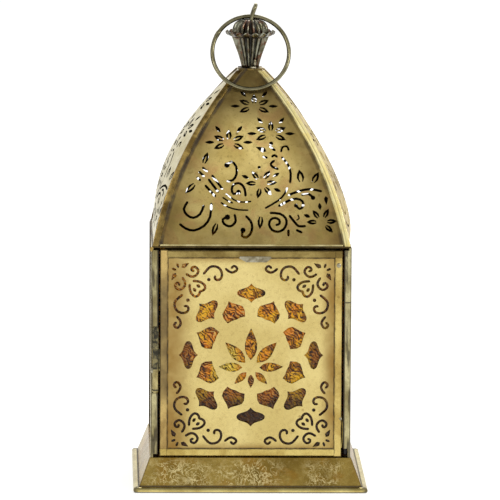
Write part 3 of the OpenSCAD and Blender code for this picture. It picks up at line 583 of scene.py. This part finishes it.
# Side and rear sheets of the roof: sawn as the front one is, but beaten fuller, so that they stand
# proud between the ridges. The cut edges of the left and the rear one are dark.
# The left sheet has a paler copy of the brass: a painted reflection of the bright studio it faces.
pale_lit_side = aged_brass("pale_lit_side_brass", srgb(224, 215, 180), srgb(200, 188, 142), srgb(138, 118, 70),
                       cloud=34, mottled=0.15, spots=0.25, smooth=0.24, rough=0.42, wave=0.0002,
                       soot=soot_brown)
gold_side = aged_brass("gold_side_brass", srgb(216, 190, 106), srgb(180, 152, 76), srgb(120, 96, 50),
                       cloud=34, mottled=0.2, spots=0.3, smooth=0.3, rough=0.46, wave=0.0002, metal=0.4,
                       soot=soot_brown)
dark_cut_edge = aged_brass("dark_cut_edge_brass", srgb(66, 56, 36), srgb(40, 33, 20), srgb(24, 18, 10),
                      smooth=0.4, rough=0.6)
roof_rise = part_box("roof_front")[1].z - eave_height
bends_each_way, bend_step, ridge_clearance = 8, 0.006, 0.0003
fuller = (("roof_left", (-1, 0), 0.0064, 1.0, pale_lit_side, dark_cut_edge),
          ("roof_right", (1, 0), 0.0047, 0.40, gold_side, gold_side),
          ("roof_rear", (0, 1), 0.0045, 0.8, gold_side, dark_cut_edge))
for sheet_name, outwards, bow, lean, sheet_brass, edge_brass in fuller:
    out_way, along_way = Vector((*outwards, 0)), Vector((outwards[1], outwards[0], 0))
    bpy.ops.object.select_all(action="DESELECT")
    sheet = bpy.data.objects.new("bowed_" + sheet_name, nodes[sheet_name].data.copy())
    bpy.context.collection.objects.link(sheet)
    sheet.select_set(True)
    bpy.context.view_layer.objects.active = sheet
    sheet.data.materials.clear()
    sheet = begin("bowed_" + sheet_name)
    bpy.ops.mesh.select_all(action="SELECT")
    bpy.ops.mesh.remove_doubles(threshold=1e-6)
    for bend in range(-bends_each_way, bends_each_way + 1):
        bpy.ops.mesh.select_all(action="SELECT")
        bpy.ops.mesh.bisect(plane_co=along_way * bend * bend_step, plane_no=along_way)
    shape = bmesh.from_edit_mesh(sheet.data)
    shape.normal_update()
    for facet in shape.faces:
        sideways, outward = facet.normal.dot(along_way), facet.normal.dot(out_way)
        in_a_cut = abs(sideways) > 0.3 or outward * facet.normal.z < 0.02
        facet.material_index = int(in_a_cut)
    for point in shape.verts:
        out, along = abs(point.co.dot(out_way)), abs(point.co.dot(along_way))
        inside = min(1.0, max(0.0, (out - along - ridge_reach - ridge_clearance) / (out - ridge_reach)))
        up = min(1.0, max(0.0, (point.co.z - eave_height) / roof_rise))
        point.co += out_way * bow * math.sin(math.pi * up ** lean) * (1 - (1 - inside) ** 2)
    bmesh.update_edit_mesh(sheet.data)
    bpy.ops.object.mode_set(mode="OBJECT")
    bpy.ops.object.shade_smooth_by_angle(angle=math.radians(30))
    even = sheet.modifiers.new("even", "WEIGHTED_NORMAL")
    even.keep_sharp = True
    apply_modifiers(sheet)
    settle(sheet, sheet_brass, "lantern", "roof_brass", sheet_name)
    sheet.data.materials.append(edge_brass)


# Eave folds: the foot of each roof sheet is folded back on itself, so that its edge is safe to hold.
# The fold is rubbed bright; each of the four is a flattened bar, leaning in with the sheet.
fold_half, fold_out, fold_thick, fold_height = 0.0536, 0.0578, 0.0008, 0.0011
fold_lean, fold_lift = 0.00045, 0.00005
fold_brass = aged_brass("fold_brass", srgb(226, 212, 158), srgb(180, 162, 104), srgb(96, 76, 40),
                        cloud=90, mottled=0.3, smooth=0.18, rough=0.3, wave=0.0001)
bpy.ops.object.select_all(action="DESELECT")
bpy.ops.mesh.primitive_cube_add(
    size=1, location=(0, -fold_out + fold_thick / 2, eave_height + fold_lift + fold_height / 2)
)
folds = begin("eave_folds")
bpy.ops.transform.resize(value=(2 * fold_half, fold_thick, fold_height))
pick(folds, lambda place: place.z > 0)
bpy.ops.transform.translate(value=(0, fold_lean, 0))
bpy.ops.mesh.select_all(action="SELECT")
bpy.ops.mesh.subdivide(number_cuts=2)
for _ in range(3):
    bpy.ops.mesh.duplicate()
    bpy.ops.transform.rotate(value=math.pi / 2, orient_axis="Z", center_override=(0, 0, 0))
roll = folds.modifiers.new("roll", "BEVEL")
roll.width, roll.segments = 0.0002, 3
apply_modifiers(folds)
bpy.ops.object.shade_smooth_by_angle(angle=math.radians(40))
settle(folds, fold_brass, "lantern", "roof_brass")


# Ridges: narrow strips folded over the corners of the roof and soldered down on both sides.
# The right ones have a cream copy of the brass, a painted highlight; the left ones a brown copy, painted
# shade.
def ridge_edge_shade(tree, place):
    """Painted shade: a dark line along the soldered edge of a ridge strip."""
    line = ramp(tree, from_corner(tree, axes(tree, place)), ridge_reach - 0.0007, ridge_reach - 0.0001)
    return times(tree, line, ramp(tree, noise(tree, place, 120, 3), 0.3, 0.6, 0.2, 0.85))


def ridge_crease_shade(tree, place):
    """Painted shade: dark lines along the edge of a ridge strip and down its middle, where it was rolled.
    """
    crease = band(tree, from_corner(tree, axes(tree, place)), 0.0019, 0.0001, 0.0003)
    return most(tree, ridge_edge_shade(tree, place), times(tree, crease, 0.6))


def side_flange_shade(tree, place):
    """Painted shade: old gold on the flange of a right ridge that lies on the side of the roof."""
    p = axes(tree, place)
    step = calc(tree, "SUBTRACT", calc(tree, "ABSOLUTE", p[0]), calc(tree, "ABSOLUTE", p[1]))
    return ramp(tree, step, 0.0001, 0.0006, 0.0, 0.9)


brown_shaded_ridge = aged_brass("brown_shaded_ridge_brass", srgb(180, 152, 86), srgb(112, 89, 44), srgb(84, 61, 30),
                         cloud=130, mottled=0.4, smooth=0.18, rough=0.34, wave=0.0002, grime_and_shade=ridge_edge_shade)
finish(brown_shaded_ridge, "ridge_front_left", "ridge_rear_left")
cream_lit_ridge = aged_brass("cream_lit_ridge_brass", srgb(255, 242, 176), srgb(250, 228, 146), srgb(184, 156, 86),
                         cloud=110, mottled=0.12, spots=0.2, smooth=0.16, rough=0.3, wave=0.0001, metal=0.3,
                         stain_and_shade_mask=side_flange_shade, grime_and_shade=ridge_crease_shade, grime_and_shade_colour=srgb(92, 76, 38))
finish(cream_lit_ridge, "ridge_front_right", "ridge_rear_right")
soften(0.00025, "ridge_front_left", "ridge_front_right", "ridge_rear_left", "ridge_rear_right")


# Crown and finial: a small plate on top of the roof carries a fluted cone, a ruffled brim and a
# fluted dome, each pressed from sheet. Their brass is grey, with red tarnish, and painted shade darkens the
# grooves.
flutes, points_per_flute, flute_depth = 18, 8, 0.19
cone_dents, dome_dents, groove_reach = 0.07, 0.08, 0.1


def tarnish(tree, place):
    """Red-brown tarnish in patches round the finial."""
    return ramp(tree, noise(tree, place, 180, 4, 0.6, 0.8), 0.47, 0.62, 0.0, 0.75)


def groove_shade(tree, place):
    """Painted shade down in the flutes."""
    p = axes(tree, place)
    wave = calc(tree, "COSINE", times(tree, calc(tree, "ARCTAN2", p[1], p[0]), float(flutes)))
    deep = ramp(tree, wave, -0.1, -0.85)
    return times(tree, deep, ramp(tree, noise(tree, place, 300, 3), 0.3, 0.65, 0.55, 1.0))


finial_brass = aged_brass("finial_brass", srgb(146, 145, 126), srgb(86, 81, 62), srgb(96, 54, 36),
                          cloud=160, mottled=0.2, smooth=0.08, rough=0.2, wave=0.00008, stain_and_shade_mask=tarnish,
                          grime_and_shade=groove_shade, grime_and_shade_colour=srgb(26, 23, 18))
finish(roof_brass, "crown_plate", "eye_washer")


def begin_in_place(name):
    """As begin, with the primitive's place already in its mesh and all of it selected."""
    piece = begin(name)
    bpy.ops.object.mode_set(mode="OBJECT")
    bpy.ops.object.transform_apply(location=True)
    bpy.ops.object.mode_set(mode="EDIT")
    bpy.ops.mesh.select_all(action="SELECT")
    return piece


def lathe(name, rings):
    """Solid of revolution from (height, radius) rings, extruded upwards ring by ring."""
    height, radius = rings[0]
    bpy.ops.object.select_all(action="DESELECT")
    bpy.ops.mesh.primitive_circle_add(
        vertices=flutes * points_per_flute, radius=radius, fill_type="NGON", location=(0, 0, height)
    )
    piece = begin_in_place(name)
    for next_height, next_radius in rings[1:]:
        bpy.ops.mesh.extrude_region_move(TRANSFORM_OT_translate={"value": (0, 0, next_height - height)})
        grow = next_radius / radius
        bpy.ops.transform.resize(value=(grow, grow, 1), center_override=(0, 0, next_height))
        height, radius = next_height, next_radius
    return piece


def flute_step(place):
    """Place of a point within its flute, from 0 on the crest to half the points in the groove."""
    turn = round(math.atan2(place.y, place.x) / math.tau * flutes * points_per_flute) % points_per_flute
    return min(turn, points_per_flute - turn)


def angle_from(place, angle):
    """Angle between a place and a direction, round the axis."""
    return abs((math.atan2(place.y, place.x) - angle + math.pi) % math.tau - math.pi)


def press_flutes(piece, below):
    """Draws the points between the crests inwards, as far up as below."""
    for step in range(1, points_per_flute // 2 + 1):
        share = (1 - math.cos(math.pi * 2 * step / points_per_flute)) / 2
        pick(piece, lambda place: flute_step(place) == step and place.z < below)
        grow = 1 - flute_depth * share
        bpy.ops.transform.resize(value=(grow, grow, 1), center_override=(0, 0, 0))


def dent_flutes(piece, deepest, below):
    """Knocks each groove in a little further, by chance, as far up as below."""
    for flute in range(flutes):
        groove = math.tau * (flute + 0.5) / flutes
        dent = 1 - random.uniform(0.0, deepest)
        pick(piece, lambda place: flute_step(place) >= 3 and place.z < below
             and angle_from(place, groove) < groove_reach)
        bpy.ops.transform.resize(value=(dent, dent, 1), center_override=(0, 0, 0))


def round_off(piece, levels):
    smooth = piece.modifiers.new("round", "SUBSURF")
    smooth.levels = levels
    smooth.render_levels = levels
    apply_modifiers(piece)
    bpy.ops.object.shade_smooth()


cone_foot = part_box("finial_cone")[0].z
cone_rings = ((0.0000, 0.0050), (0.0002, 0.0052), (0.0028, 0.0057), (0.0065, 0.0067), (0.0106, 0.0082),
              (0.0146, 0.0097), (0.0178, 0.0109), (0.0185, 0.0112), (0.0187, 0.0110))
cone = lathe("fluted_cone", [(cone_foot + height, radius) for height, radius in cone_rings])
press_flutes(cone, math.inf)
random.seed(5)
dent_flutes(cone, cone_dents, math.inf)
round_off(cone, 1)
settle(cone, finial_brass, "lantern", "finial_brass", "finial_cone")

dome_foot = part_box("finial_dome")[0].z
flutes_end, dents_end = dome_foot + 0.0084, dome_foot + 0.0083
dome_rings = ((0.0000, 0.0105), (0.0002, 0.0110), (0.0018, 0.0110), (0.0040, 0.0107), (0.0060, 0.0100),
              (0.0074, 0.0090), (0.0084, 0.0076), (0.0090, 0.0059), (0.0094, 0.0040), (0.0096, 0.0022))
dome = lathe("fluted_dome", [(dome_foot + height, radius) for height, radius in dome_rings])
press_flutes(dome, flutes_end)
dent_flutes(dome, dome_dents, dents_end)
round_off(dome, 1)
settle(dome, finial_brass, "lantern", "finial_brass", "finial_dome")

brim_under, brim_hole, brim_thick = dome_foot - 0.0007, 0.0104, 0.0006
ruffle_height, ruffle_from = 0.00055, 0.0138
brim_rings = ((0.0116, 0.0000), (0.0125, 0.0002), (0.0134, 0.0007),
              (0.0142, 0.0015), (0.0147, 0.0022), (0.0149, 0.0025))
bpy.ops.object.select_all(action="DESELECT")
bpy.ops.mesh.primitive_circle_add(
    vertices=flutes * points_per_flute, radius=brim_hole, fill_type="NOTHING", location=(0, 0, brim_under)
)
brim = begin_in_place("ruffled_brim")
rim_radius, rim_rise = brim_hole, 0.0
for next_radius, next_rise in brim_rings:
    bpy.ops.mesh.extrude_edges_move(TRANSFORM_OT_translate={"value": (0, 0, next_rise - rim_rise)})
    grow = next_radius / rim_radius
    bpy.ops.transform.resize(value=(grow, grow, 1), center_override=(0, 0, 0))
    rim_radius, rim_rise = next_radius, next_rise
for step in range(points_per_flute // 2 + 1):
    lift = ruffle_height * math.cos(math.pi * 2 * step / points_per_flute)
    pick(brim, lambda place: flute_step(place) == step and math.hypot(place.x, place.y) > ruffle_from)
    bpy.ops.transform.translate(value=(0, 0, lift))
bpy.ops.mesh.select_all(action="SELECT")
bpy.ops.mesh.normals_make_consistent(inside=False)
wall = brim.modifiers.new("sheet", "SOLIDIFY")
wall.thickness = brim_thick
wall.offset = 1.0
round_off(brim, 1)
settle(brim, finial_brass, "lantern", "finial_brass", "finial_brim")


# Eye: a wire staple whose legs go down through the dome; above it the loop leans to the right,
# bent by years of carrying. The ring hangs in the loop.
wire_brass = aged_brass("wire_brass", srgb(144, 138, 108), srgb(104, 98, 72), srgb(58, 48, 30),
                        cloud=60, mottled=0.15, spots=0.3, smooth=0.14, rough=0.28, wave=0.00004)
eye_wire_r, eye_loop_r, eye_lean = 0.0012, 0.0027, math.radians(20)
eye_foot, eye_bend, eye_leg = dome_foot + 0.0043, dome_foot + 0.0092, 0.006361
lean_up = Vector((math.sin(eye_lean), 0, math.cos(eye_lean)))
loop_centre = Vector((0, 0, eye_bend)) + lean_up * eye_leg
bpy.ops.object.select_all(action="DESELECT")
bpy.ops.mesh.primitive_circle_add(
    vertices=16, radius=eye_wire_r, fill_type="NGON", location=(0, -eye_loop_r, eye_foot)
)
eye = begin_in_place("ring_eye_wire")
bpy.ops.mesh.extrude_region_move(TRANSFORM_OT_translate={"value": (0, 0, eye_bend - eye_foot)})
bpy.ops.transform.rotate(value=-eye_lean / 2, orient_axis="Y", center_override=(0, -eye_loop_r, eye_bend))
bpy.ops.mesh.extrude_region_move(TRANSFORM_OT_translate={"value": lean_up * eye_leg})
bpy.ops.transform.rotate(value=-eye_lean / 2, orient_axis="Y",
                         center_override=Vector((0, -eye_loop_r, 0)) + loop_centre)
bpy.ops.mesh.spin(steps=14, angle=math.pi, center=loop_centre,
                  axis=(math.cos(eye_lean), 0, -math.sin(eye_lean)))
bpy.ops.mesh.extrude_region_move(TRANSFORM_OT_translate={"value": -lean_up * eye_leg})
bpy.ops.mesh.extrude_region_move(TRANSFORM_OT_translate={"value": (0, 0, eye_foot - eye_bend)})
bpy.ops.mesh.select_all(action="SELECT")
bpy.ops.mesh.remove_doubles(threshold=1e-6)
bpy.ops.mesh.normals_make_consistent(inside=False)
round_off(eye, 1)
settle(eye, wire_brass, "lantern", "finial_brass", "ring_eye")


# Carry ring: thick brass wire bent round by hand, its ends butted and soldered at the upper left.
# It hangs in the eye and leans on the front of the roof.
ring_radius, ring_wire_r, ring_lean = 0.0227, 0.00125, math.radians(24.5695)
joint_angle, joint_reach, joint_swell = math.radians(150), math.radians(3.2), 1.12
uneven_length, uneven_depth = 0.008, 0.00022
swing = [joint for joint in frame["joints"] if joint["name"] == "ring_swing"][0]
ring_top = Vector(swing["pos_m"])
ring_down = Vector((0, -math.sin(ring_lean), -math.cos(ring_lean)))
bpy.ops.object.select_all(action="DESELECT")
bpy.ops.mesh.primitive_torus_add(
    major_segments=144, minor_segments=18, major_radius=ring_radius, minor_radius=ring_wire_r,
    location=ring_top + ring_down * ring_radius, rotation=(math.pi / 2 - ring_lean, 0, 0)
)
ring = begin("carry_ring_wire")
joint_centre = Vector((math.cos(joint_angle), math.sin(joint_angle), 0)) * ring_radius
pick(ring, lambda place: angle_from(place, joint_angle) < joint_reach)
bpy.ops.transform.resize(value=[joint_swell] * 3, center_override=ring.matrix_world @ joint_centre)
bpy.ops.object.mode_set(mode="OBJECT")
hand_bent = bpy.data.textures.new("hand_bent", type="CLOUDS")
hand_bent.noise_scale = uneven_length
hand_work = ring.modifiers.new("hand_bent", "DISPLACE")
hand_work.texture = hand_bent
hand_work.strength = uneven_depth
hand_work.mid_level = 0.5
apply_modifiers(ring)
bpy.ops.object.shade_smooth()
settle(ring, wire_brass, "ring", "finial_brass", "carry_ring")


# Hinge: two knuckles soldered to the left post and one on the door, on a headed pin.
# The joints are filled with grey solder that ran a little when the hinge was set.
def hinge_soot(tree, place):
    """Black polish caked in flakes above the lowest knuckle, and a dark rim on that knuckle."""
    p = axes(tree, place)
    flakes = ramp(tree, noise(tree, place, 420, 4, 0.6, 0.8), 0.36, 0.60, 0.45, 0.98)
    rim = band(tree, p[2], 0.0600, 0.0002, 0.0004)
    return most(tree, times(tree, ramp(tree, p[2], 0.0718, 0.0728), flakes), rim)


hinge_brass = aged_brass("hinge_brass", srgb(190, 176, 124), srgb(140, 124, 78), srgb(84, 68, 38),
                         cloud=120, mottled=0.5, smooth=0.24, rough=0.44, grime_and_shade=hinge_soot,
                         grime_and_shade_colour=srgb(40, 38, 24))
finish(hinge_brass, "hinge_post_knuckles", "hinge_pin", "hinge_door_knuckle")
solder = aged_brass("solder_grey", srgb(176, 170, 148), srgb(128, 118, 92), srgb(78, 66, 44),
                    cloud=200, mottled=0.5, smooth=0.28, rough=0.5, wave=0.00025)


def lump(name, place, size, body, metal=solder):
    """Lump of solder at a place, uneven as it cooled."""
    bpy.ops.object.select_all(action="DESELECT")
    bpy.ops.mesh.primitive_ico_sphere_add(subdivisions=4, radius=0.5, location=place)
    piece = begin(name)
    bpy.ops.transform.resize(value=size, center_override=place)
    bpy.ops.object.mode_set(mode="OBJECT")
    uneven = bpy.data.textures.new(name, type="CLOUDS")
    uneven.noise_scale = max(size) * 0.4
    cooled = piece.modifiers.new("cooled", "DISPLACE")
    cooled.texture = uneven
    cooled.strength = min(size) * 0.35
    cooled.mid_level = 0.6
    apply_modifiers(piece)
    bpy.ops.object.shade_smooth()
    settle(piece, metal, body, "solder_tab")


lump("hinge_solder", (-0.0577, -0.0592, 0.0716), (0.0030, 0.0016, 0.0034), "lantern")
lump("post_top_solder", (-0.0586, -0.0588, 0.1436), (0.0020, 0.0014, 0.0030), "lantern", brown_shaded_ridge)
lump("finial_solder", (0.0016, -0.0055, cone_foot + 0.0003), (0.0040, 0.0026, 0.0024), "lantern")
lump("finial_tie", (0.0026, -0.0063, cone_foot + 0.0035), (0.0018, 0.0018, 0.0042), "lantern")
lump("door_edge_solder", (0.0530, -0.0599, 0.0429), (0.0016, 0.0012, 0.0020), "door")


# Door: the pierced front panel in a frame of folded strips that meet pinwheel fashion, with a
# soldered tab on the top rail, a small stud and a bowed spring on the free edge.
door_middle, panel_half, panel_up, strip_half = 0.0818, 0.0492, 0.0569, 0.00215
line_from, line_to, lit_middle_half, lit_middle_fade = 0.0009, 0.0002, 0.0013, 0.0009


def door_rims(tree, place):
    """Darker brown towards the strips round the panel, widest on the hinge side."""
    p = axes(tree, place)
    side = ramp(tree, calc(tree, "ABSOLUTE", p[0]), 0.0390, 0.0485)
    up = ramp(tree, apart(tree, p[2], door_middle), 0.0520, 0.0580)
    hinge_side = ramp(tree, p[0], -0.030, -0.047)
    return times(tree, most(tree, side, up, hinge_side), blotchy(tree, place, 0.55, 0.95))


def panel_line(tree, place):
    """Broken dark line in the corner between panel and strips."""
    p = axes(tree, place)
    side = ramp(tree, calc(tree, "ABSOLUTE", p[0]), panel_half - line_from, panel_half - line_to)
    up = ramp(tree, apart(tree, p[2], door_middle), panel_up - line_from, panel_up - line_to)
    return times(tree, most(tree, side, up), ramp(tree, noise(tree, place, 260, 3), 0.32, 0.6, 0.3, 0.95))


def strip_edge_shade(tree, place):
    """Painted shade on the edges of the folded strips, as if they were rounded; the middle of each is left
    bright.
    """
    p = axes(tree, place)
    side, up = calc(tree, "ABSOLUTE", p[0]), apart(tree, p[2], door_middle)
    upright = ramp(tree, side, panel_half - 0.0001, panel_half + 0.0001)
    stile = without(tree, band(tree, side, panel_half + strip_half, lit_middle_half, lit_middle_fade))
    rail = without(tree, band(tree, up, panel_up + strip_half, lit_middle_half, lit_middle_fade))
    edge = put(tree, "ShaderNodeMix", {0: upright, 2: rail, 3: stile}).outputs[0]
    return times(tree, edge, ramp(tree, noise(tree, place, 240, 3), 0.3, 0.65, 0.15, 0.75))


door_brass = aged_brass("door_brass", srgb(222, 202, 134), srgb(204, 182, 114), srgb(150, 114, 56),
                        cloud=22, mottled=0.22, spots=0.5, smooth=0.2, rough=0.32, wave=0.0002,
                        stain_and_shade_mask=door_rims, grime_and_shade=panel_line, soot=soot_brown)
finish(door_brass, "door_panel")


def hinge_film(tree, place):
    """Grey-brown film along the middle of the hinge stile, where no cloth reaches behind the knuckles."""
    p = axes(tree, place)
    middle = band(tree, p[2], 0.0900, 0.0260, 0.0200)
    return times(tree, middle, ramp(tree, noise(tree, place, 140, 4), 0.25, 0.65, 0.45, 0.8))


strips = (
    ("door_stile_left", srgb(206, 178, 112), srgb(164, 136, 82), srgb(104, 88, 62), hinge_film),
    ("door_stile_right", srgb(214, 190, 116), srgb(182, 154, 86), srgb(116, 88, 44), None),
    ("door_rail_top", srgb(166, 146, 88), srgb(122, 102, 56), srgb(84, 64, 32), None),
    ("door_rail_bottom", srgb(214, 192, 116), srgb(184, 158, 86), srgb(116, 88, 44), None),
)
for strip_name, strip_pale, strip_deep, strip_stain, strip_mask in strips:
    strip_brass = aged_brass(strip_name + "_brass", strip_pale, strip_deep, strip_stain,
                             cloud=60, mottled=0.25, smooth=0.2, rough=0.36,
                             stain_and_shade_mask=strip_mask, grime_and_shade=strip_edge_shade)
    finish(strip_brass, strip_name)
    soften(0.00025, strip_name)
finish(strip_brass, "catch_spring")
finish(solder, "door_tab", "door_stud")


# Last: the view layer is updated.
bpy.context.view_layer.update()
